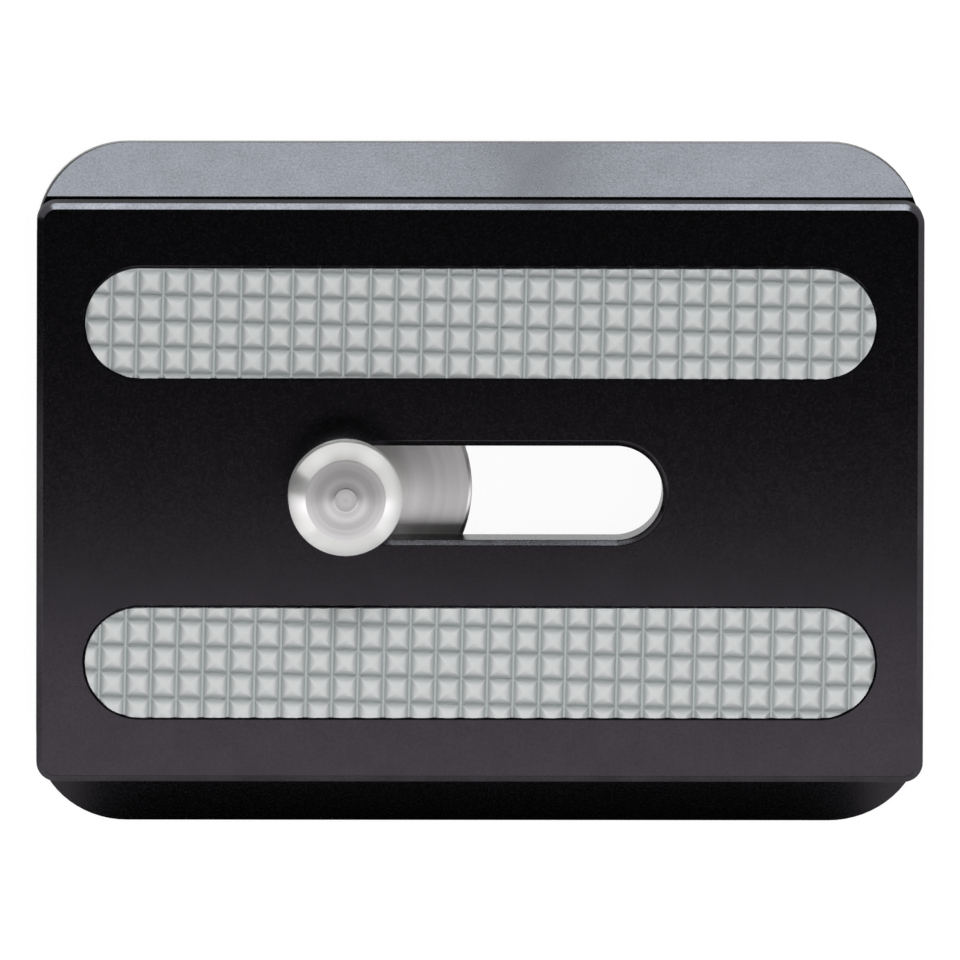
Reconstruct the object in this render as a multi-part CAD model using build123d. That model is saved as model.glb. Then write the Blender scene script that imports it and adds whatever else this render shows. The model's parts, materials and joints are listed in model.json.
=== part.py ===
from build123d import *
import os
from math import ceil, hypot

# Camera plate with a 45 degree dovetail, two rubber grip strips and a captive sliding camera screw.
# Millimetres. Origin at the centre of the base, X along the dovetail, +Z towards the camera.

# Dovetail plate
plate_length = 49.4
plate_height = 10.0
base_width = 38.0
base_land_height = 1.6
slope_run = 2.85
relief_depth = 0.5
relief_height = 2.35
base_corner_radius = 5.1
block_corner_radius = 1.1
block_edge_chamfer = 0.35
base_edge_chamfer = 0.3
chamfer_angle = 45

# Camera screw
thread_diameter = 6.35
shank_diameter = 5.0
screw_reach = 5.3
thread_start_gap = 0.4
tip_chamfer = 0.95
tip_pip_radius = 0.65
tip_pip_height = 0.1
head_diameter = 13.0
head_thickness = 3.2
head_edge_chamfer = 0.3
coin_slot_width = 1.6
coin_slot_depth = 1.3
hex_across_flats = 4.0
hex_depth = 2.2

# Washer between the screw head and the web of the plate
washer_diameter = 14.3
washer_thickness = 1.0
washer_bore_clearance = 0.15
washer_edge_chamfer = 0.2

# Slot for the screw shank, and the recess below it for the washer and the head
screw_travel = 15.1
shank_clearance = 0.125
web_thickness = 4.3
recess_clearance = 0.5
slot_edge_chamfer = 0.3
recess_edge_chamfer = 0.4

# Grip strips
strip_length = 44.0
strip_width = 6.1
strip_spacing = 18.94
strip_proud = 0.5
pocket_depth = 1.0
pocket_clearance = 0.12
pocket_edge_chamfer = 0.12

# Pyramid pattern on the strips: crossed V grooves, turned a little from the strip's own line
pyramid_pitch = 1.441
groove_width = 0.74
groove_depth = 0.4
pattern_turn = -1.1
rear_pattern_shift = (-0.4, -0.23)
front_pattern_shift = (0.43, 0.56)

# Spare length and height of stock and cutters beyond the faces they pass
overrun = 1.0

# Levels and widths that follow from the sizes above
slope_rise = slope_run
slope_top = base_land_height + slope_rise
block_bottom = slope_top + relief_height
block_width = base_width - 2 * slope_run
slot_width = shank_diameter + 2 * shank_clearance
recess_ceiling = plate_height - web_thickness
recess_width = washer_diameter + 2 * recess_clearance
washer_bore = shank_diameter + 2 * washer_bore_clearance
head_top = recess_ceiling - washer_thickness
head_bottom = head_top - head_thickness
thread_bottom = plate_height + thread_start_gap
tip_height = plate_height + screw_reach
pocket_floor = plate_height - pocket_depth
strip_top = plate_height + strip_proud
screw_x = -screw_travel / 2


def chamfered_edge(outline, level, depth, direction):
    """Prism that starts from an outline at a level and narrows up (1) or down (-1) at the chamfer angle."""
    return extrude(Pos(Z=level) * outline, depth, dir=(0, 0, direction), taper=chamfer_angle)


def dovetail_stock():
    """Bar of the dovetail's cross-section, longer than the plate at both ends."""
    half_base = base_width / 2
    half_block = block_width / 2
    half_neck = half_block - relief_depth
    right_side = [
        (half_base, 0),
        (half_base, base_land_height),
        (half_block, slope_top),
        (half_neck, slope_top),
        (half_neck, block_bottom),
        (half_block, block_bottom),
        (half_block, plate_height),
    ]
    left_side = [(-across, height) for across, height in reversed(right_side)]
    section = make_face(Polyline(*right_side, *left_side, close=True))
    return extrude(Plane.YZ * section, plate_length / 2 + overrun, both=True)


def plate_outline():
    """Milled outline of the plate: wide rounded corners on the base, tight ones on the block above it."""
    base = RectangleRounded(plate_length, base_width, base_corner_radius)
    block = RectangleRounded(plate_length, block_width, block_corner_radius)
    base_side = extrude(Pos(Z=base_edge_chamfer) * base, block_bottom - base_edge_chamfer)
    base_edge = chamfered_edge(base, base_edge_chamfer, base_edge_chamfer, -1)
    block_shoulder = plate_height - block_edge_chamfer
    block_side = extrude(Pos(Z=block_bottom) * block, block_shoulder - block_bottom)
    block_edge = chamfered_edge(block, block_shoulder, block_edge_chamfer, 1)
    return base_edge + base_side + block_side + block_edge


def screw_slot():
    """Cutter for the shank's slot through the web, with its chamfered mouth on the camera face."""
    slot = SlotCenterToCenter(screw_travel, slot_width)
    mouth = SlotCenterToCenter(screw_travel, slot_width + 2 * slot_edge_chamfer)
    through = extrude(Pos(Z=recess_ceiling - overrun) * slot, web_thickness + 2 * overrun)
    return through + chamfered_edge(mouth, plate_height, slot_edge_chamfer, -1)


def screw_recess():
    """Cutter for the recess that the washer and the screw head slide in, open at the base."""
    recess = SlotCenterToCenter(screw_travel, recess_width)
    mouth = SlotCenterToCenter(screw_travel, recess_width + 2 * recess_edge_chamfer)
    cavity = extrude(Pos(Z=-overrun) * recess, recess_ceiling + overrun)
    return cavity + chamfered_edge(mouth, 0, recess_edge_chamfer, 1)


def strip_outline(offset):
    """Stadium outline of a grip strip, grown by the given offset."""
    return SlotOverall(strip_length + 2 * offset, strip_width + 2 * offset)


def strip_pocket():
    """Cutter for one grip strip's pocket, with a broken edge."""
    pocket = extrude(Pos(Z=pocket_floor) * strip_outline(pocket_clearance), pocket_depth + overrun)
    mouth = strip_outline(pocket_clearance + pocket_edge_chamfer)
    return pocket + chamfered_edge(mouth, plate_height, pocket_edge_chamfer, -1)


def plate_body():
    body = dovetail_stock() & plate_outline()
    body -= screw_slot()
    body -= screw_recess()
    for side in (1, -1):
        body -= Pos(Y=side * strip_spacing / 2) * strip_pocket()
    return body


def v_groove(length):
    """Triangular bar along X with its point down, as deep as the pyramids are high."""
    rise = groove_depth + overrun
    half_mouth = groove_width / 2 * rise / groove_depth
    section = make_face(Polyline((0, 0), (half_mouth, rise), (-half_mouth, rise), close=True))
    bar = extrude(Plane.YZ * section, length / 2, both=True)
    return Pos(Z=strip_top - groove_depth) * bar


def pyramid_grooves(shift):
    """Crossed grooves over the whole strip, with one crossing at the given shift from its centre."""
    reach = hypot(strip_length, strip_width) / 2 + pyramid_pitch
    along = v_groove(2 * reach)
    across = Rot(Z=90) * v_groove(2 * strip_width)
    rows = ceil(strip_width / 2 / pyramid_pitch) + 1
    columns = ceil(strip_length / 2 / pyramid_pitch) + 1
    grooves = [Pos(Y=row * pyramid_pitch) * along for row in range(-rows, rows + 1)]
    grooves += [Pos(X=column * pyramid_pitch) * across for column in range(-columns, columns + 1)]
    placed = Pos(*shift) * Rot(Z=pattern_turn)
    return [placed * groove for groove in grooves]


def grip_strip(side, shift):
    blank = extrude(Pos(Z=pocket_floor) * strip_outline(0), strip_top - pocket_floor)
    return Pos(Y=side * strip_spacing / 2) * (blank - pyramid_grooves(shift))


def turned(points):
    """Solid of revolution about Z from (radius, height) points."""
    return revolve(Plane.XZ * make_face(Polyline(*points, close=True)), Axis.Z)


def screw_washer():
    bore = washer_bore / 2
    rim = washer_diameter / 2
    washer = turned([
        (bore, head_top),
        (rim - washer_edge_chamfer, head_top),
        (rim, head_top + washer_edge_chamfer),
        (rim, recess_ceiling - washer_edge_chamfer),
        (rim - washer_edge_chamfer, recess_ceiling),
        (bore, recess_ceiling),
    ])
    return Pos(X=screw_x) * washer


def camera_screw():
    shank = shank_diameter / 2
    thread = thread_diameter / 2
    head = head_diameter / 2
    screw = turned([
        (0, head_bottom),
        (head - head_edge_chamfer, head_bottom),
        (head, head_bottom + head_edge_chamfer),
        (head, head_top - head_edge_chamfer),
        (head - head_edge_chamfer, head_top),
        (shank, head_top),
        (shank, thread_bottom),
        (thread, thread_bottom + thread - shank),
        (thread, tip_height - tip_chamfer),
        (thread - tip_chamfer, tip_height),
        (tip_pip_radius, tip_height),
        (tip_pip_radius - tip_pip_height, tip_height + tip_pip_height),
        (0, tip_height + tip_pip_height),
    ])
    from_below = Pos(Z=head_bottom)
    coin_slot = extrude(from_below * Rectangle(head_diameter + 2 * overrun, coin_slot_width), coin_slot_depth)
    hex_profile = RegularPolygon(hex_across_flats / 2, 6, major_radius=False)
    hex_socket = extrude(from_below * hex_profile, hex_depth)
    screw -= coin_slot
    screw -= hex_socket
    return Pos(X=screw_x) * screw


os.makedirs("parts", exist_ok=True)
export_step(plate_body(), "parts/plate_body.step")
export_step(grip_strip(1, rear_pattern_shift), "parts/rear_grip_strip.step")
export_step(grip_strip(-1, front_pattern_shift), "parts/front_grip_strip.step")
export_step(screw_washer(), "parts/screw_washer.step")
export_step(camera_screw(), "parts/camera_screw.step")
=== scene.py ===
import json
from math import ceil, cos, pi, radians

import bmesh
import bpy
from mathutils import Euler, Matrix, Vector


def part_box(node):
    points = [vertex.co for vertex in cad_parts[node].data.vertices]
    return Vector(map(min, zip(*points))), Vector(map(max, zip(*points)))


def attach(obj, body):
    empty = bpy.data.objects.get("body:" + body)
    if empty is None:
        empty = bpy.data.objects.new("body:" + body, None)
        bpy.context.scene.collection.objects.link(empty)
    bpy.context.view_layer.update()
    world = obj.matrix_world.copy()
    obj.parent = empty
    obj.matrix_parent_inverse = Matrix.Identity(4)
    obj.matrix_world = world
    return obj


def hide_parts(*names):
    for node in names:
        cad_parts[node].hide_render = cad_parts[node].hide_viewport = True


# Looks of a camera plate with two rubber grip strips and a captive camera screw.
# Pieces are modelled in millimetres in the part's own frame, and brought to metres when they are done.

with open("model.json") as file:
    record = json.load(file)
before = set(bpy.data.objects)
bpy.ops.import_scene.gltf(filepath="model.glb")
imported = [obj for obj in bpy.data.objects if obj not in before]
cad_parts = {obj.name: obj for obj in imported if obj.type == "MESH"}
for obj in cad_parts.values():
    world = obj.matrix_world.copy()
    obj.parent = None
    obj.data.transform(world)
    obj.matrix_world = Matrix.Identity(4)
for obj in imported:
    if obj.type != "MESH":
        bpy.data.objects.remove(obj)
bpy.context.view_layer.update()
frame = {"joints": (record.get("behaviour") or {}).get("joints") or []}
millimetre = 0.001


def box_in_mm(node):
    """Lowest and highest corner of a CAD node, in millimetres."""
    low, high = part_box(node)
    return low / millimetre, high / millimetre


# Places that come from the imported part
plate_low, plate_high = box_in_mm("plate_body")
screw_low, screw_high = box_in_mm("camera_screw")
washer_low, washer_high = box_in_mm("screw_washer")
rear_strip_low, rear_strip_high = box_in_mm("rear_grip_strip")
plate_length = plate_high.x - plate_low.x
base_width = plate_high.y - plate_low.y
plate_top = plate_high.z
strip_top = rear_strip_high.z
screw_axis = (screw_low.x + screw_high.x) / 2
screw_travel = frame["joints"][0]["range_m"][1] / millimetre

# Dovetail plate
base_land_height = 1.6
slope_run = 2.85
relief_depth = 0.5
relief_height = 2.35
base_corner_radius = 5.1
block_corner_radius = 1.1
block_chamfer = 0.35
base_chamfer = 0.3
slot_width = 5.25
slot_chamfer = 0.3
web_thickness = 4.3
recess_clearance = 0.5
recess_chamfer = 0.4
pocket_depth = 1.0
pocket_clearance = 0.05
pocket_chamfer = 0.08

# Grip strips; each ring of a pyramid is a share of half the pitch, and a share of the pyramid's height
pyramid_pitch = 1.441
groove_depth = 0.47
pyramid_rings = ((0.93, 0.0), (0.76, 0.4), (0.55, 0.7), (0.27, 0.92))
pattern_turn = -1.1
rear_pattern_shift = (-0.4, -0.23)
front_pattern_shift = (0.43, 0.56)

# Camera screw and washer
thread_diameter = 6.35
thread_pitch = 1.27
thread_depth = 0.72
thread_end_collar = 0.1
shank_diameter = 5.0
thread_start_gap = 0.4
tip_chamfer = 0.95
tip_pip_radius = 0.65
tip_pip_height = 0.1
head_diameter = 13.0
head_thickness = 3.2
head_chamfer = 0.3
coin_slot_width = 1.6
coin_slot_depth = 1.3
hex_across_flats = 4.0
hex_depth = 2.2
washer_bore = 5.3
washer_chamfer = 0.2

# Groove of the thread: its mouth is a share of the pitch, and its floor a share of its mouth
groove_mouth_share = 0.88
groove_floor_share = 0.16
groove_overcut = 0.05
groove_lead_in_turns = 1.5
groove_spare_turns = 3
groove_steps = 48

# Finish of the modelling; a face counts as level when the Z part of its normal is larger than level_normal
metal_edge_radius = 0.03
metal_edge_steps = 2
blasted_edge_radius = 0.03
blasted_edge_steps = 3
base_corner_steps = 16
block_corner_steps = 8
stadium_corner_steps = 24
round_sides = 96
sharp_turn = radians(25)
level_normal = 0.9
spare = 1.0
tiny = 0.002

# Colours of the materials
anodised_dark = (0.0355, 0.0323, 0.0368)
anodised_light = (0.0396, 0.036, 0.0411)
# Lighter colour of the worn chamfers on top, which also paints part of their highlight
anodised_worn_and_highlit = (0.052, 0.0475, 0.0546)
anodised_edge_tint = (0.7, 0.7, 0.7)
rubber_dark = (0.57, 0.585, 0.585)
rubber_light = (0.62, 0.632, 0.632)
# Painted shade: the rubber's colour on the floor of the grooves and on the pyramids' steep feet
rubber_painted_groove_shade = (0.385, 0.407, 0.413)
washer_dark = (0.88, 0.87, 0.85)
washer_light = (0.97, 0.96, 0.94)
screw_dark = (0.66, 0.655, 0.645)
screw_light = (0.84, 0.835, 0.825)

# Grain and tool marks of the materials: sizes and depth in millimetres, and how strong the bumps are
anodised_grain_size = 0.14
anodised_cloud_size = 1.8
rubber_grain_size = 0.08
rubber_cloud_size = 0.9
ring_size = 0.14
broad_ring_scale = 0.22
bump_depth = 0.01
anodised_bump = 0.03
rubber_bump = 0.15
steel_bump = 0.2

# Range that most of a noise value lies in, and ranges that it is spread over
noise_range = (0.3, 0.7)
whole_range = (0, 1)
falling_range = (1, 0)
anodised_roughness = (0.2, 0.3)
anodised_wear_and_highlight = (0.2, 1)
rubber_roughness = (0.62, 0.78)
steel_roughness = (0.27, 0.37)

# Roughness added on milled walls and on turned faces, and the brushed look of the turned steel
wall_dullness = 0.4
washer_dullness = 0.05
screw_dullness = 0.18
steel_anisotropy = 0.7
quarter_turn = 0.25

# Where masks start or end, as the upright part of a face's normal: 0 on a wall, 1 on a level face
chamfer_start = (0.6, 0.62)
chamfer_end = (0.8, 0.9)
wall_end = (0.15, 0.45)
# Steepness over which the painted shade on the pyramids' feet fades out
pyramid_shade_start = (0.4, 0.8)
turned_face_start = (0.8, 0.97)

# Studio, in metres
floor_size = 6
floor_level = -0.00002
floor_paper = (0.14, 0.14, 0.14)
floor_glow = 0.93
card_black = (0.004, 0.004, 0.004)
world_light = 0.03
world_backdrop = 1.0

# Camera: a long lens from above, set a little towards the rear edge and the left end.
# Angles in degrees and distance in metres; the picture's width and the aim in millimetres.
camera_tip = 4.45
camera_lean = 0.8
camera_roll = 0.13
camera_distance = 2.0
sensor_width = 36
picture_width = 53.71
camera_aim = (0.12, -0.04, 0.0)

# Levels that follow from the sizes above
slope_top = base_land_height + slope_run
block_bottom = slope_top + relief_height
block_width = base_width - 2 * slope_run
neck_width = block_width - 2 * relief_depth
recess_ceiling = plate_top - web_thickness
recess_width = washer_high.x - washer_low.x + 2 * recess_clearance
head_top = screw_low.z + head_thickness
tip_height = screw_high.z - tip_pip_height
thread_bottom = plate_top + thread_start_gap


# Modelling by hand

def start_editing(piece):
    bpy.ops.object.select_all(action="DESELECT")
    piece.select_set(True)
    bpy.context.view_layer.objects.active = piece
    bpy.ops.object.mode_set(mode="EDIT")


def stop_editing():
    bpy.ops.object.mode_set(mode="OBJECT")


def select(piece, kind, wanted):
    """In edit mode, selects the elements of a kind, VERT, EDGE or FACE, that pass a test."""
    bpy.ops.mesh.select_mode(type=kind)
    bpy.ops.mesh.select_all(action="DESELECT")
    mesh = bmesh.from_edit_mesh(piece.data)
    elements = {"VERT": mesh.verts, "EDGE": mesh.edges, "FACE": mesh.faces}
    for element in elements[kind]:
        element.select_set(wanted(element))
    mesh.select_flush_mode()
    bmesh.update_edit_mesh(piece.data)


def is_upright(edge):
    across = edge.verts[0].co - edge.verts[1].co
    return across.xy.length < tiny


def is_sharp(edge):
    return edge.is_manifold and edge.calc_face_angle() > sharp_turn


def clean_up():
    """In edit mode, closes seams, drops slivers and turns all faces outwards."""
    bpy.ops.mesh.select_all(action="SELECT")
    bpy.ops.mesh.remove_doubles(threshold=tiny)
    bpy.ops.mesh.dissolve_degenerate(threshold=tiny)
    bpy.ops.mesh.normals_make_consistent(inside=False)


def bevel_selected(offset, steps):
    """In edit mode, bevels the selected edges."""
    bpy.ops.mesh.bevel(offset=offset, segments=steps, affect="EDGES", clamp_overlap=False)


def extrude_up(rise):
    """In edit mode, extrudes what is selected upwards."""
    bpy.ops.mesh.extrude_region_move(TRANSFORM_OT_translate={"value": (0, 0, rise)})


def draw_up(rise, wide_x, wide_y, centre):
    """In edit mode, extrudes the selected top face upwards and scales it."""
    extrude_up(rise)
    bpy.ops.transform.resize(value=(wide_x, wide_y, 1), center_override=centre)


def new_piece(name):
    """Names the primitive that was just added and puts its place into its mesh."""
    piece = bpy.context.active_object
    piece.name = name
    bpy.ops.object.transform_apply(location=True, rotation=True, scale=True)
    return piece


def block(name, low, high):
    low = Vector(low)
    high = Vector(high)
    bpy.ops.mesh.primitive_cube_add(size=1, location=(low + high) / 2, scale=high - low)
    return new_piece(name)


def rounded_block(name, low, high, corner_radius, corner_steps):
    """Block with its four upright edges rounded; half its width as radius makes a stadium."""
    piece = block(name, low, high)
    start_editing(piece)
    select(piece, "EDGE", is_upright)
    bevel_selected(corner_radius, corner_steps)
    clean_up()
    stop_editing()
    return piece


def stadium(name, middle_y, length, width, low, high):
    half_length = length / 2
    half_width = width / 2
    corner_low = (-half_length, middle_y - half_width, low)
    corner_high = (half_length, middle_y + half_width, high)
    return rounded_block(name, corner_low, corner_high, half_width, stadium_corner_steps)


def turned(name, axis, steps):
    """Round piece turned from a disc that is drawn up through (radius, height) steps."""
    radius, height = steps[0]
    place = (axis, 0, height)
    bpy.ops.mesh.primitive_circle_add(vertices=round_sides, radius=radius, fill_type="NGON", location=place)
    piece = new_piece(name)
    start_editing(piece)
    bpy.ops.mesh.select_all(action="SELECT")
    for next_radius, next_height in steps[1:]:
        ratio = next_radius / radius
        draw_up(next_height - height, ratio, ratio, (axis, 0, next_height))
        radius, height = next_radius, next_height
    clean_up()
    stop_editing()
    return piece


def apply_modifier(piece, kind, **settings):
    """Adds a modifier with its settings to a piece and applies it."""
    bpy.context.view_layer.objects.active = piece
    bpy.ops.object.modifier_add(type=kind)
    modifier = piece.modifiers[-1]
    for name, value in settings.items():
        setattr(modifier, name, value)
    bpy.ops.object.modifier_apply(modifier=modifier.name)


def joined(piece, other, how):
    """Unites, cuts or intersects a piece with another one, which is used up."""
    apply_modifier(piece, "BOOLEAN", operation=how, solver="EXACT", object=other)
    bpy.data.objects.remove(other)
    return piece


def chamfered(piece, chamfer, wanted):
    """Chamfers the sharp edges of a piece that pass a test."""
    start_editing(piece)
    select(piece, "EDGE", lambda edge: is_sharp(edge) and wanted(edge))
    bevel_selected(chamfer, 1)
    stop_editing()


def softened(piece):
    """Rounds off every sharp edge of a metal piece by a small radius."""
    start_editing(piece)
    clean_up()
    stop_editing()
    apply_modifier(piece, "BEVEL", width=metal_edge_radius, segments=metal_edge_steps,
                   limit_method="ANGLE", angle_limit=sharp_turn, use_clamp_overlap=False)


def finished(piece, node, body, material):
    """Brings a piece to metres, smooths its shading and puts it in the place of its CAD node."""
    start_editing(piece)
    clean_up()
    bpy.ops.mesh.select_all(action="SELECT")
    bpy.ops.transform.resize(value=(millimetre, millimetre, millimetre), center_override=(0, 0, 0))
    stop_editing()
    bpy.ops.object.shade_smooth_by_angle(angle=sharp_turn)
    apply_modifier(piece, "WEIGHTED_NORMAL", keep_sharp=True)
    piece.data.materials.clear()
    piece.data.materials.append(material)
    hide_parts(node)
    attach(piece, body)
    return piece


# Plate

def dovetail_foot():
    """Base, slopes and neck of the dovetail, milled to the rounded outline of the base."""
    half_length = plate_length / 2 + spare
    half_width = base_width / 2
    foot = block("dovetail_foot", (-half_length, -half_width, 0), (half_length, half_width, base_land_height))
    start_editing(foot)
    select(foot, "FACE", lambda face: face.normal.z > level_normal)
    centre = (0, 0, 0)
    draw_up(slope_run, 1, block_width / base_width, centre)
    draw_up(0, 1, neck_width / block_width, centre)
    draw_up(relief_height + spare, 1, 1, centre)
    clean_up()
    stop_editing()
    low = (plate_low.x, plate_low.y, -spare)
    high = (plate_high.x, plate_high.y, plate_top)
    outline = rounded_block("base_outline", low, high, base_corner_radius, base_corner_steps)
    return joined(foot, outline, "INTERSECT")


def opening_cutter(name, middle_y, length, width, mouth, floor, chamfer):
    """Stadium cutter from a mouth level down or up to a floor level, flared for the mouth's chamfer."""
    inwards = 1 if floor > mouth else -1
    flare = mouth + inwards * chamfer
    outside = mouth - inwards * spare
    low, high = sorted((flare, outside))
    cutter = stadium(name, middle_y, length + 2 * chamfer, width + 2 * chamfer, low, high)
    start_editing(cutter)
    select(cutter, "EDGE", lambda edge: all(abs(vertex.co.z - flare) < tiny for vertex in edge.verts))
    bevel_selected(chamfer, 1)
    select(cutter, "FACE", lambda face: face.normal.z * inwards > level_normal)
    extrude_up(floor - flare)
    clean_up()
    stop_editing()
    return cutter


def slot_cutter():
    """Cutter for the slot of the screw's shank; it goes down to the base."""
    length = screw_travel + slot_width
    return opening_cutter("slot_cutter", 0, length, slot_width, plate_top, 0, slot_chamfer)


def recess_cutter():
    """Cutter for the recess of the washer and the screw head, open at the base."""
    length = screw_travel + recess_width
    return opening_cutter("recess_cutter", 0, length, recess_width, 0, recess_ceiling, recess_chamfer)


def pocket_cutter():
    """Cutter for the rear strip's pocket; the front pocket is its mirror image."""
    length = rear_strip_high.x - rear_strip_low.x + 2 * pocket_clearance
    width = rear_strip_high.y - rear_strip_low.y + 2 * pocket_clearance
    middle = (rear_strip_low.y + rear_strip_high.y) / 2
    floor = plate_top - pocket_depth
    return opening_cutter("pocket_cutter", middle, length, width, plate_top, floor, pocket_chamfer)


def keep_quarter(piece):
    """Keeps the +X +Y quarter of a piece, closed at both cuts."""
    start_editing(piece)
    for direction in ((1, 0, 0), (0, 1, 0)):
        bpy.ops.mesh.select_all(action="SELECT")
        bpy.ops.mesh.bisect(plane_co=(0, 0, 0), plane_no=direction, use_fill=True, clear_inner=True)
    clean_up()
    stop_editing()


def open_cuts(piece):
    """Takes the faces off the two cuts of a quarter."""
    start_editing(piece)
    select(piece, "FACE", lambda face: all(abs(vertex.co.x) < tiny for vertex in face.verts)
           or all(abs(vertex.co.y) < tiny for vertex in face.verts))
    bpy.ops.mesh.delete(type="FACE")
    stop_editing()


def plate_quarter():
    """One quarter of the plate with its chamfers and openings; the other three mirror it."""
    half_width = block_width / 2
    low = (plate_low.x, -half_width, block_bottom)
    high = (plate_high.x, half_width, plate_top)
    plate = rounded_block("anodised_plate", low, high, block_corner_radius, block_corner_steps)
    chamfered(plate, block_chamfer, lambda edge: all(vertex.co.z > plate_top - tiny for vertex in edge.verts))
    foot = dovetail_foot()
    chamfered(foot, base_chamfer, lambda edge: all(vertex.co.z < tiny for vertex in edge.verts))
    joined(plate, foot, "UNION")
    keep_quarter(plate)
    for cutter in (slot_cutter, recess_cutter, pocket_cutter):
        joined(plate, cutter(), "DIFFERENCE")
    open_cuts(plate)
    return plate


def is_at_pocket(vertex):
    """True in the rear pocket and on its mouth."""
    room = pocket_clearance + pocket_chamfer + tiny
    along = abs(vertex.co.x) < rear_strip_high.x + room
    across = rear_strip_low.y - room < vertex.co.y < rear_strip_high.y + room
    return along and across


def is_on_chamfer(vertex):
    """True at the levels of the edges of the block's and the slot's chamfers, away from the pocket."""
    depth = plate_top - vertex.co.z
    at_edge = any(abs(depth - level) < tiny for level in (0, block_chamfer, slot_chamfer))
    return at_edge and not is_at_pocket(vertex)


def blast_edges(plate):
    """Rounds both edges of the chamfers round the block and the slot, as blasting does."""
    start_editing(plate)
    clean_up()
    select(plate, "EDGE", lambda edge: is_sharp(edge) and not is_upright(edge)
           and all(is_on_chamfer(vertex) for vertex in edge.verts))
    bevel_selected(blasted_edge_radius, blasted_edge_steps)
    stop_editing()


def trim_ends(plate):
    """Brings back the few corners that the rounding pushed past the plate's end and side."""
    start_editing(plate)
    for direction in (0, 1):
        limit = plate_high[direction] - tiny
        select(plate, "VERT", lambda vertex: vertex.co[direction] > limit)
        flat = [1, 1, 1]
        flat[direction] = 0
        centre = [0, 0, 0]
        centre[direction] = limit
        bpy.ops.transform.resize(value=flat, center_override=centre)
    stop_editing()


def anodised_plate(material):
    plate = plate_quarter()
    blast_edges(plate)
    softened(plate)
    trim_ends(plate)
    apply_modifier(plate, "MIRROR", use_axis=(True, True, False), use_clip=True, merge_threshold=tiny)
    return finished(plate, "plate_body", "plate", material)


# Grip strips

def grip_pyramid(place):
    """One soft pyramid: a square raised and drawn in, ring by ring, to a star and then to a blunt point."""
    half_pitch = pyramid_pitch / 2
    floor_width = (1 - pyramid_rings[0][0]) * half_pitch
    point_rise = (1 - pyramid_rings[-1][1]) * groove_depth
    bpy.ops.mesh.primitive_plane_add(size=pyramid_pitch, location=place)
    pyramid = new_piece("grip_pyramid")
    start_editing(pyramid)
    bpy.ops.mesh.select_mode(type="FACE")
    bpy.ops.mesh.select_all(action="SELECT")
    bpy.ops.mesh.subdivide(number_cuts=1)
    bpy.ops.mesh.dissolve_faces()
    bpy.ops.mesh.inset(thickness=floor_width, use_even_offset=True)
    for (outer, low), (inner, high) in zip(pyramid_rings, pyramid_rings[1:]):
        extrude_up((high - low) * groove_depth)
        bpy.ops.transform.push_pull(value=(outer - inner) * half_pitch)
    bpy.ops.mesh.poke(offset=point_rise)
    stop_editing()
    return pyramid


def pyramid_field(columns, rows, top):
    """Sheet of pyramids: one is modelled, then repeated along and across."""
    half_pitch = pyramid_pitch / 2
    first_place = (half_pitch - columns * half_pitch, half_pitch - rows * half_pitch, top - groove_depth)
    field = grip_pyramid(first_place)
    for direction, count in ((0, columns), (1, rows)):
        offset = [0, 0, 0]
        offset[direction] = pyramid_pitch
        apply_modifier(field, "ARRAY", count=count, use_relative_offset=False, use_constant_offset=True,
                       constant_offset_displace=offset, use_merge_vertices=True, merge_threshold=tiny)
    return field


def close_below(drop):
    """In edit mode, draws the open border of a sheet down and closes it there."""
    bpy.ops.mesh.select_mode(type="EDGE")
    bpy.ops.mesh.select_all(action="DESELECT")
    bpy.ops.mesh.select_non_manifold()
    extrude_up(-drop)
    bpy.ops.mesh.edge_face_add()
    clean_up()


def grip_strip(name, node, shift, material):
    """Rubber strip cut out of a turned and shifted sheet of pyramids."""
    low, high = box_in_mm(node)
    length = high.x - low.x
    width = high.y - low.y
    middle = (low.y + high.y) / 2
    columns = 2 * (ceil(length / 2 / pyramid_pitch) + 1)
    rows = 2 * (ceil(width / 2 / pyramid_pitch) + 1)
    strip = pyramid_field(columns, rows, high.z)
    strip.name = name
    start_editing(strip)
    bpy.ops.mesh.select_all(action="SELECT")
    bpy.ops.transform.rotate(value=-radians(pattern_turn), orient_axis="Z", center_override=(0, 0, 0))
    bpy.ops.transform.translate(value=(shift[0], middle + shift[1], 0))
    close_below(high.z - low.z)
    stop_editing()
    outline = stadium("strip_outline", middle, length, width, low.z, high.z + spare)
    joined(strip, outline, "INTERSECT")
    return finished(strip, node, "plate", material)


# Screw and washer

def groove_section():
    """Section of the thread's groove, where its coil begins: wide outside, narrow at the root."""
    outer = thread_diameter / 2 + groove_overcut
    root = thread_diameter / 2 - thread_depth
    start = thread_bottom - groove_lead_in_turns * thread_pitch
    place = ((outer + root) / 2, 0, start)
    bpy.ops.mesh.primitive_plane_add(size=1, location=place, rotation=(pi / 2, 0, 0))
    section = new_piece("thread_coil")
    start_editing(section)
    bpy.ops.mesh.select_all(action="SELECT")
    mouth = groove_mouth_share * thread_pitch
    bpy.ops.transform.resize(value=(outer - root, 1, mouth), center_override=place)
    select(section, "VERT", lambda vertex: vertex.co.x < place[0])
    bpy.ops.transform.resize(value=(1, 1, groove_floor_share), center_override=place)
    stop_editing()
    return section


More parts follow.
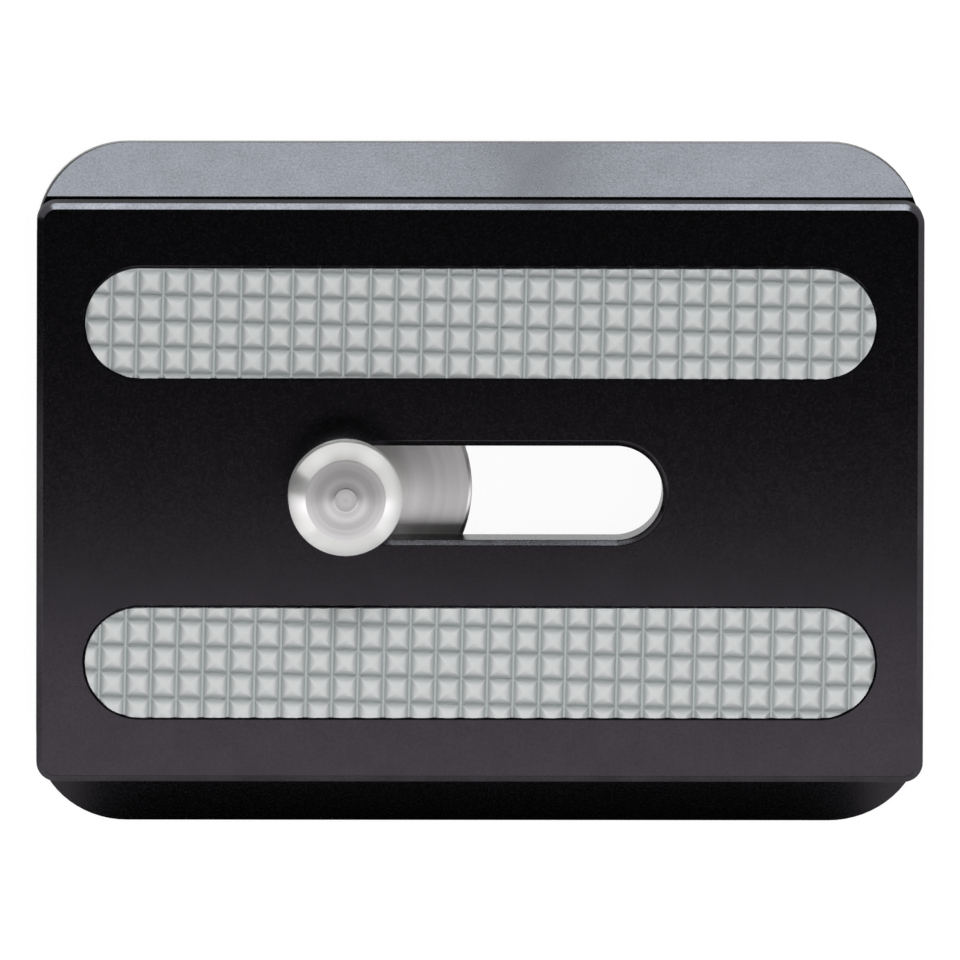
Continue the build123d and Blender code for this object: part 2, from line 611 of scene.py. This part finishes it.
def thread_coil():
    """Closed coil with the section of the thread's groove, cut off so that a collar stays below the tip."""
    coil = groove_section()
    turns = ceil((tip_height - thread_bottom) / thread_pitch) + groove_spare_turns
    apply_modifier(coil, "SCREW", axis="Z", screw_offset=thread_pitch, iterations=turns,
                   steps=groove_steps, render_steps=groove_steps)
    start_editing(coil)
    bpy.ops.mesh.select_all(action="SELECT")
    bpy.ops.mesh.remove_doubles(threshold=tiny)
    bpy.ops.mesh.fill_holes(sides=4)
    bpy.ops.mesh.quads_convert_to_tris()
    clean_up()
    bpy.ops.transform.translate(value=(screw_axis, 0, 0))
    thread_end = (0, 0, tip_height - tip_chamfer - thread_end_collar)
    bpy.ops.mesh.bisect(plane_co=thread_end, plane_no=(0, 0, 1), use_fill=True, clear_outer=True)
    clean_up()
    stop_editing()
    return coil


def coin_slot_cutter():
    half_width = coin_slot_width / 2
    low = (screw_low.x - spare, -half_width, screw_low.z - spare)
    high = (screw_high.x + spare, half_width, screw_low.z + coin_slot_depth)
    return block("coin_slot", low, high)


def hex_cutter():
    sides = 6
    corner_radius = hex_across_flats / 2 / cos(pi / sides)
    depth = hex_depth + spare
    place = (screw_axis, 0, screw_low.z + hex_depth - depth / 2)
    bpy.ops.mesh.primitive_cylinder_add(vertices=sides, radius=corner_radius, depth=depth, location=place)
    return new_piece("hex_cutter")


def threaded_screw(material):
    thread = thread_diameter / 2
    shank = shank_diameter / 2
    head = head_diameter / 2
    head_bottom = screw_low.z
    screw = turned("threaded_screw", screw_axis, [
        (head - head_chamfer, head_bottom),
        (head, head_bottom + head_chamfer),
        (head, head_top - head_chamfer),
        (head - head_chamfer, head_top),
        (shank, head_top),
        (shank, thread_bottom),
        (thread, thread_bottom + thread - shank),
        (thread, tip_height - tip_chamfer),
        (thread - tip_chamfer, tip_height),
        (tip_pip_radius, tip_height),
        (tip_pip_radius, tip_height + tip_pip_height),
    ])
    joined(screw, coin_slot_cutter(), "DIFFERENCE")
    joined(screw, hex_cutter(), "DIFFERENCE")
    softened(screw)
    joined(screw, thread_coil(), "DIFFERENCE")
    return finished(screw, "camera_screw", "screw", material)


def steel_washer(material):
    rim = (washer_high.x - washer_low.x) / 2
    bore = washer_bore / 2
    washer = turned("steel_washer", screw_axis, [
        (rim - washer_chamfer, washer_low.z),
        (rim, washer_low.z + washer_chamfer),
        (rim, washer_high.z - washer_chamfer / 2),
        (rim - washer_chamfer, washer_high.z),
    ])
    bore_cutter = turned("washer_bore", screw_axis, [
        (bore, washer_low.z - spare),
        (bore, washer_high.z + spare),
    ])
    joined(washer, bore_cutter, "DIFFERENCE")
    softened(washer)
    return finished(washer, "screw_washer", "washer", material)


# Shader nodes

def add_node(tree, kind, values=None, **settings):
    """Adds a shader node with its own settings and the values of its sockets."""
    node = tree.nodes.new(kind)
    for name, value in settings.items():
        setattr(node, name, value)
    for name, value in (values or {}).items():
        node.inputs[name].default_value = value
    return node


def new_group(name, inputs, outputs):
    """Empty shader node group with named number sockets, and a vector socket called Place."""
    group = bpy.data.node_groups.new(name, "ShaderNodeTree")
    group.interface.new_socket("Place", in_out="INPUT", socket_type="NodeSocketVector")
    for socket in inputs:
        group.interface.new_socket(socket, in_out="INPUT", socket_type="NodeSocketFloat")
    for socket in outputs:
        group.interface.new_socket(socket, in_out="OUTPUT", socket_type="NodeSocketFloat")
    return group, group.nodes.new("NodeGroupInput"), group.nodes.new("NodeGroupOutput")


def fine_grain_group():
    """Specks of a blasted or moulded skin: small grains, and broad soft clouds between them."""
    group, taken, given = new_group("fine_grain", ["Grain Scale", "Cloud Scale"], ["Grain", "Clouds"])
    grain = add_node(group, "ShaderNodeTexNoise", {"Detail": 2.0, "Roughness": 0.6})
    clouds = add_node(group, "ShaderNodeTexNoise", {"Detail": 3.0, "Roughness": 0.55})
    for noise, scale, result in ((grain, "Grain Scale", "Grain"), (clouds, "Cloud Scale", "Clouds")):
        group.links.new(taken.outputs["Place"], noise.inputs["Vector"])
        group.links.new(taken.outputs[scale], noise.inputs["Scale"])
        group.links.new(noise.outputs["Fac"], given.inputs[result])
    return group


def lathe_marks_group():
    """Rings that a turning tool leaves round the Z axis, fine ones and broad ones."""
    group, taken, given = new_group("lathe_marks", ["Ring Scale"], ["Fine Rings", "Broad Rings"])
    parts = add_node(group, "ShaderNodeSeparateXYZ")
    flat = add_node(group, "ShaderNodeCombineXYZ")
    radius = add_node(group, "ShaderNodeVectorMath", operation="LENGTH")
    tool_path = add_node(group, "ShaderNodeMath", operation="ADD")
    fine = add_node(group, "ShaderNodeTexNoise", {"Detail": 2.0, "Roughness": 0.7}, noise_dimensions="1D")
    slower = add_node(group, "ShaderNodeMath", {1: broad_ring_scale}, operation="MULTIPLY")
    broad = add_node(group, "ShaderNodeTexNoise", {"Detail": 1.0}, noise_dimensions="1D")
    group.links.new(taken.outputs["Place"], parts.inputs["Vector"])
    for axis in ("X", "Y"):
        group.links.new(parts.outputs[axis], flat.inputs[axis])
    group.links.new(flat.outputs["Vector"], radius.inputs[0])
    group.links.new(radius.outputs["Value"], tool_path.inputs[0])
    group.links.new(parts.outputs["Z"], tool_path.inputs[1])
    fine_scale = taken.outputs["Ring Scale"]
    group.links.new(fine_scale, slower.inputs[0])
    broad_scale = slower.outputs["Value"]
    for rings, scale, result in ((fine, fine_scale, "Fine Rings"), (broad, broad_scale, "Broad Rings")):
        group.links.new(tool_path.outputs["Value"], rings.inputs["W"])
        group.links.new(scale, rings.inputs["Scale"])
        group.links.new(rings.outputs["Fac"], given.inputs[result])
    return group


def new_material(name, metallic, specular):
    material = bpy.data.materials.new(name)
    material.use_nodes = True
    tree = material.node_tree
    shader = tree.nodes["Principled BSDF"]
    shader.inputs["Metallic"].default_value = metallic
    shader.inputs["Specular IOR Level"].default_value = specular
    return material, tree, shader


def place_on(tree, offset):
    """Object coordinates, moved so that the offset becomes their origin."""
    coordinates = add_node(tree, "ShaderNodeTexCoord")
    mapping = add_node(tree, "ShaderNodeMapping", {"Location": [-part for part in offset]})
    tree.links.new(coordinates.outputs["Object"], mapping.inputs["Vector"])
    return mapping.outputs["Vector"]


def part_of(tree, vector, axis):
    """X, Y or Z part of a vector."""
    parts = add_node(tree, "ShaderNodeSeparateXYZ")
    tree.links.new(vector, parts.inputs["Vector"])
    return parts.outputs[axis]


def maths(tree, operation, *values):
    """Result of a maths node; each value is a number or the output of another node."""
    node = add_node(tree, "ShaderNodeMath", operation=operation)
    for socket, value in zip(node.inputs, values):
        if isinstance(value, (int, float)):
            socket.default_value = value
        else:
            tree.links.new(value, socket)
    return node.outputs["Value"]


def spread(tree, value, old_range, new_range):
    """Value brought from one range to another, and held inside it."""
    old_low, old_high = old_range
    new_low, new_high = new_range
    node = add_node(tree, "ShaderNodeMapRange", {
        "From Min": old_low,
        "From Max": old_high,
        "To Min": new_low,
        "To Max": new_high,
    })
    tree.links.new(value, node.inputs["Value"])
    return node.outputs["Result"]


def spread_noise(tree, value, new_range):
    return spread(tree, value, noise_range, new_range)


def blend_colours(tree, mask, first, second):
    """Blend of two colours by a mask; each of them is a colour or the output of another blend."""
    blend = add_node(tree, "ShaderNodeMix", data_type="RGBA")
    for name, colour in (("A", first), ("B", second)):
        if isinstance(colour, tuple):
            blend.inputs[name].default_value = (*colour, 1)
        else:
            tree.links.new(colour, blend.inputs[name])
    tree.links.new(mask, blend.inputs["Factor"])
    return blend.outputs["Result"]


def flatness(tree):
    """Upright part of a face's normal: 0 on a wall, 1 on a level face."""
    surface = add_node(tree, "ShaderNodeNewGeometry")
    return maths(tree, "ABSOLUTE", part_of(tree, surface.outputs["Normal"], "Z"))


def flatter(tree, turn):
    """Mask that grows from 0 to 1 as faces grow flatter over a range."""
    return spread(tree, flatness(tree), turn, whole_range)


def steeper(tree, turn):
    """Mask that falls from 1 to 0 as faces grow flatter over a range."""
    return spread(tree, flatness(tree), turn, falling_range)


def above(tree, place, level):
    """Mask that is 1 above a level in millimetres."""
    return maths(tree, "GREATER_THAN", part_of(tree, place, "Z"), level * millimetre)


def beside_slot(tree, place):
    """Mask that is 0 in the screw slot and 1 beside it and past its ends."""
    half_width = slot_width / 2 + slot_chamfer
    half_length = half_width + screw_travel / 2
    outside = []
    for axis, edge in (("X", half_length), ("Y", half_width)):
        distance = maths(tree, "ABSOLUTE", part_of(tree, place, axis))
        outside.append(maths(tree, "GREATER_THAN", distance, edge * millimetre))
    return maths(tree, "MAXIMUM", *outside)


def out_of_groove_shade(tree, place):
    """Mask that grows from 0 on the floor of the grip strips' grooves to 1 halfway up the pyramids, where the
    painted shade of the grooves fades out.
    """
    floor = strip_top - groove_depth
    middle = strip_top - groove_depth / 2
    return spread(tree, part_of(tree, place, "Z"), (floor * millimetre, middle * millimetre), whole_range)


def product(tree, *masks):
    """All masks multiplied."""
    result = masks[0]
    for mask in masks[1:]:
        result = maths(tree, "MULTIPLY", result, mask)
    return result


def bump_from(tree, height, strength, shader):
    bump = add_node(tree, "ShaderNodeBump", {"Strength": strength, "Distance": bump_depth * millimetre})
    tree.links.new(height, bump.inputs["Height"])
    tree.links.new(bump.outputs["Normal"], shader.inputs["Normal"])


def grain_on(tree, group, place, grain_size, cloud_size):
    """Grain and clouds of the fine grain group, with their sizes in millimetres."""
    node = add_node(tree, "ShaderNodeGroup", node_tree=group)
    node.inputs["Grain Scale"].default_value = 1 / (grain_size * millimetre)
    node.inputs["Cloud Scale"].default_value = 1 / (cloud_size * millimetre)
    tree.links.new(place, node.inputs["Place"])
    return node.outputs["Grain"], node.outputs["Clouds"]


def rings_on(tree, group, place):
    """Fine and broad rings of the lathe marks group."""
    node = add_node(tree, "ShaderNodeGroup", node_tree=group)
    node.inputs["Ring Scale"].default_value = 1 / (ring_size * millimetre)
    tree.links.new(place, node.inputs["Place"])
    return node.outputs["Fine Rings"], node.outputs["Broad Rings"]


# Materials

def black_anodised(grain_group):
    """Fine satin black; milled walls above the base are duller, and the chamfers on top a little worn, their
    lighter colour partly wear and partly a painted highlight.
    """
    material, tree, shader = new_material("black_anodised", metallic=1, specular=0.5)
    place = place_on(tree, (0, 0, 0))
    grain, clouds = grain_on(tree, grain_group, place, anodised_grain_size, anodised_cloud_size)
    outside_slot = beside_slot(tree, place)
    on_top = above(tree, place, plate_top - block_chamfer)
    chamfers = product(tree, flatter(tree, chamfer_start), steeper(tree, chamfer_end), on_top, outside_slot)
    # Wear and painted highlight: the chamfers on top, away from the slot, are lighter in patches
    worn_and_highlit = product(tree, chamfers, spread_noise(tree, clouds, anodised_wear_and_highlight))
    skin = blend_colours(tree, spread_noise(tree, clouds, whole_range), anodised_dark, anodised_light)
    colour = blend_colours(tree, worn_and_highlit, skin, anodised_worn_and_highlit)
    walls = product(tree, steeper(tree, wall_end), above(tree, place, base_land_height), outside_slot)
    satin = spread_noise(tree, grain, anodised_roughness)
    roughness = maths(tree, "MULTIPLY_ADD", walls, wall_dullness, satin)
    tree.links.new(colour, shader.inputs["Base Color"])
    tree.links.new(roughness, shader.inputs["Roughness"])
    shader.inputs["Specular Tint"].default_value = (*anodised_edge_tint, 1)
    bump_from(tree, grain, anodised_bump, shader)
    return material


def grey_rubber(grain_group):
    """Matt light grey rubber, with painted shade in the grooves and on the steep feet of the pyramids."""
    material, tree, shader = new_material("grey_rubber", metallic=0, specular=0.3)
    place = place_on(tree, (0, 0, 0))
    grain, clouds = grain_on(tree, grain_group, place, rubber_grain_size, rubber_cloud_size)
    # Painted shade: the grooves' floors and the pyramids' steep feet get the darker colour
    unshaded_faces = product(tree, flatter(tree, pyramid_shade_start), out_of_groove_shade(tree, place))
    skin = blend_colours(tree, clouds, rubber_dark, rubber_light)
    colour = blend_colours(tree, unshaded_faces, rubber_painted_groove_shade, skin)
    tree.links.new(colour, shader.inputs["Base Color"])
    tree.links.new(spread_noise(tree, grain, rubber_roughness), shader.inputs["Roughness"])
    bump_from(tree, grain, rubber_bump, shader)
    return material


def turned_steel(name, marks_group, dark, light, dullness):
    """Bright turned steel with tool marks; faces square to the axis are duller than the rest."""
    material, tree, shader = new_material(name, metallic=1, specular=0.5)
    place = place_on(tree, (screw_axis * millimetre, 0, 0))
    fine_rings, broad_rings = rings_on(tree, marks_group, place)
    colour = blend_colours(tree, spread_noise(tree, broad_rings, whole_range), dark, light)
    bright = spread_noise(tree, fine_rings, steel_roughness)
    roughness = maths(tree, "MULTIPLY_ADD", flatter(tree, turned_face_start), dullness, bright)
    tangent = add_node(tree, "ShaderNodeTangent", direction_type="RADIAL", axis="Z")
    tree.links.new(colour, shader.inputs["Base Color"])
    tree.links.new(roughness, shader.inputs["Roughness"])
    tree.links.new(tangent.outputs["Tangent"], shader.inputs["Tangent"])
    shader.inputs["Anisotropic"].default_value = steel_anisotropy
    shader.inputs["Anisotropic Rotation"].default_value = quarter_turn
    bump_from(tree, fine_rings, steel_bump, shader)
    return material


# Studio

def any_ray(tree, names):
    """1 for the kinds of ray that are named, 0 for all others."""
    path = add_node(tree, "ShaderNodeLightPath")
    found = path.outputs[names[0]]
    for name in names[1:]:
        found = maths(tree, "MAXIMUM", found, path.outputs[name])
    return found


def sheet(name, place, wide, high, turn, material):
    """Flat sheet of the studio, which isn't part of the object."""
    bpy.ops.mesh.primitive_plane_add(size=1, location=place, rotation=turn)
    piece = bpy.context.active_object
    piece.name = name
    piece.scale = (wide, high, 1)
    piece.data.materials.append(material)
    return piece


def floor_material():
    """White to the camera and in reflections, with a weak shadow."""
    material = bpy.data.materials.new("white_floor")
    material.use_nodes = True
    tree = material.node_tree
    tree.nodes.clear()
    paper = add_node(tree, "ShaderNodeBsdfDiffuse", {"Color": (*floor_paper, 1)})
    glow = add_node(tree, "ShaderNodeEmission")
    both = add_node(tree, "ShaderNodeAddShader")
    output = add_node(tree, "ShaderNodeOutputMaterial")
    seen = any_ray(tree, ["Is Camera Ray", "Is Glossy Ray", "Is Transmission Ray"])
    tree.links.new(maths(tree, "MULTIPLY", seen, floor_glow), glow.inputs["Strength"])
    tree.links.new(paper.outputs["BSDF"], both.inputs[0])
    tree.links.new(glow.outputs["Emission"], both.inputs[1])
    tree.links.new(both.outputs["Shader"], output.inputs["Surface"])
    return material


def black_card_material():
    material, _, shader = new_material("black_card", metallic=0, specular=0)
    shader.inputs["Base Color"].default_value = (*card_black, 1)
    shader.inputs["Roughness"].default_value = 1
    return material


def flag(name, card, place, wide, high, turn, has_shadow=False):
    """Black card that reflections show and the camera doesn't; with a shadow it also holds off the lamps."""
    piece = sheet(name, place, wide, high, turn, card)
    piece.visible_camera = False
    piece.visible_diffuse = False
    piece.visible_shadow = has_shadow


def flags():
    """Cards that the plate and the screw mirror as dark bands; the one lying on the floor in front is a
    painted shadow of the plate.
    """
    card = black_card_material()
    level = (0, 0, 0)
    upright = (pi / 2, 0, 0)
    sideways = (pi / 2, 0, pi / 2)
    askew = (pi / 2, 0, radians(76))
    flag("front_flag", card, place=(0, -0.04, 0.003), wide=0.045, high=0.006, turn=upright)
    # Painted shadow: a black card lying in front of the plate in place of its shadow on the floor, which the
    # front slope mirrors
    flag("painted_floor_shadow_flag", card, place=(0, -0.0298, 0.0001), wide=0.045, high=0.0204, turn=level)
    flag("left_flag", card, place=(-0.04, 0, 0.0045), wide=0.036, high=0.009, turn=sideways)
    flag("rear_flag", card, place=(0.004, 0.06, 0.008), wide=0.002, high=0.016, turn=upright)
    flag("screw_rear_flag", card, place=(-0.0075, 0.03, 0.0187), wide=0.032, high=0.011, turn=upright,
         has_shadow=True)
    flag("screw_flag", card, place=(-0.0645, 0.014, 0.017), wide=0.026, high=0.02, turn=askew)


def softbox(name, place, aim, wide, high, radiance, tint=(1, 1, 1), lights_matt=False):
    """Area lamp of an even radiance, out of the camera's sight.

    It is seen in reflections only, or else it lights matt surfaces only.
    """
    lamp = bpy.data.lights.new(name, "AREA")
    lamp.shape = "RECTANGLE"
    lamp.size = wide
    lamp.size_y = high
    lamp.energy = radiance * pi * wide * high
    lamp.color = tint
    box = bpy.data.objects.new(name, lamp)
    bpy.context.scene.collection.objects.link(box)
    box.location = place
    box.rotation_euler = (Vector(aim) - Vector(place)).to_track_quat("-Z", "Y").to_euler()
    box.visible_camera = False
    box.visible_diffuse = lights_matt
    box.visible_glossy = not lights_matt


def reflected_lamps(centre):
    softbox("rear_softbox", place=(0, 0.36, 0.06), aim=(0, 0, 0.06), wide=0.26, high=0.12,
            radiance=13.2, tint=(0.89, 1.03, 1.01))
    softbox("screw_softbox", place=(-0.0075, 0.0298, 0.0187), aim=(-0.0075, 0, 0.0187),
            wide=0.032, high=0.011, radiance=1.2)
    softbox("top_softbox", place=(0, -0.036, 0.075), aim=(0, -0.036, 0), wide=0.4, high=0.05,
            radiance=1.62, tint=(1.01, 0.98, 1.02))
    softbox("front_softbox", place=(0, -0.4, 0.05), aim=(0, 0, 0.05), wide=0.9, high=0.1, radiance=1.1)
    softbox("front_high_softbox", place=(0, -0.3, 0.2), aim=centre, wide=0.7, high=0.2, radiance=0.5)
    for side in (-1, 1):
        softbox("rear_side_softbox", place=(side * 0.275, 0.393, 0.1), aim=(0, 0, 0.1), wide=0.257, high=0.2,
                radiance=1.3)
        softbox("side_softbox", place=(side * 0.4, -0.035, 0.1), aim=(0, -0.035, 0.1), wide=0.73, high=0.2,
                radiance=1.1)


def matt_lamps(centre):
    softbox("matt_overhead_softbox", place=(0, -0.03, 0.2), aim=(0, -0.03, 0), wide=0.12, high=0.2,
            radiance=2.4, lights_matt=True)
    softbox("matt_rear_softbox", place=(0, 0.3, 0.32), aim=centre, wide=0.25, high=0.12,
            radiance=12.5, lights_matt=True)
    softbox("matt_front_softbox", place=(0, -0.06, 0.05), aim=centre, wide=0.12, high=0.05,
            radiance=1.0, lights_matt=True)


def studio_world():
    """White to the camera, and a weak light from all sides."""
    world = bpy.data.worlds.new("studio")
    bpy.context.scene.world = world
    world.use_nodes = True
    tree = world.node_tree
    background = tree.nodes["Background"]
    background.inputs["Color"].default_value = (1, 1, 1, 1)
    level = spread(tree, any_ray(tree, ["Is Camera Ray"]), whole_range, (world_light, world_backdrop))
    tree.links.new(level, background.inputs["Strength"])


def studio():
    centre = (0, 0, 0.01)
    sheet("floor", (0, 0, floor_level), floor_size, floor_size, (0, 0, 0), floor_material())
    flags()
    reflected_lamps(centre)
    matt_lamps(centre)
    studio_world()


def camera():
    data = bpy.data.cameras.new("camera")
    data.sensor_width = sensor_width
    data.lens = sensor_width * camera_distance / (picture_width * millimetre)
    view = bpy.data.objects.new("camera", data)
    bpy.context.scene.collection.objects.link(view)
    turn = Euler((-radians(camera_tip), -radians(camera_lean), radians(camera_roll)))
    back = turn.to_matrix() @ Vector((0, 0, camera_distance))
    view.location = Vector(camera_aim) * millimetre + back
    view.rotation_euler = turn
    bpy.context.scene.camera = view


grain_group = fine_grain_group()
marks_group = lathe_marks_group()
rubber = grey_rubber(grain_group)

anodised_plate(black_anodised(grain_group))
grip_strip("rear_grip", "rear_grip_strip", rear_pattern_shift, rubber)
grip_strip("front_grip", "front_grip_strip", front_pattern_shift, rubber)
steel_washer(turned_steel("washer_steel", marks_group, washer_dark, washer_light, washer_dullness))
threaded_screw(turned_steel("screw_steel", marks_group, screw_dark, screw_light, screw_dullness))
studio()
camera()
bpy.context.scene.view_settings.view_transform = "Standard"
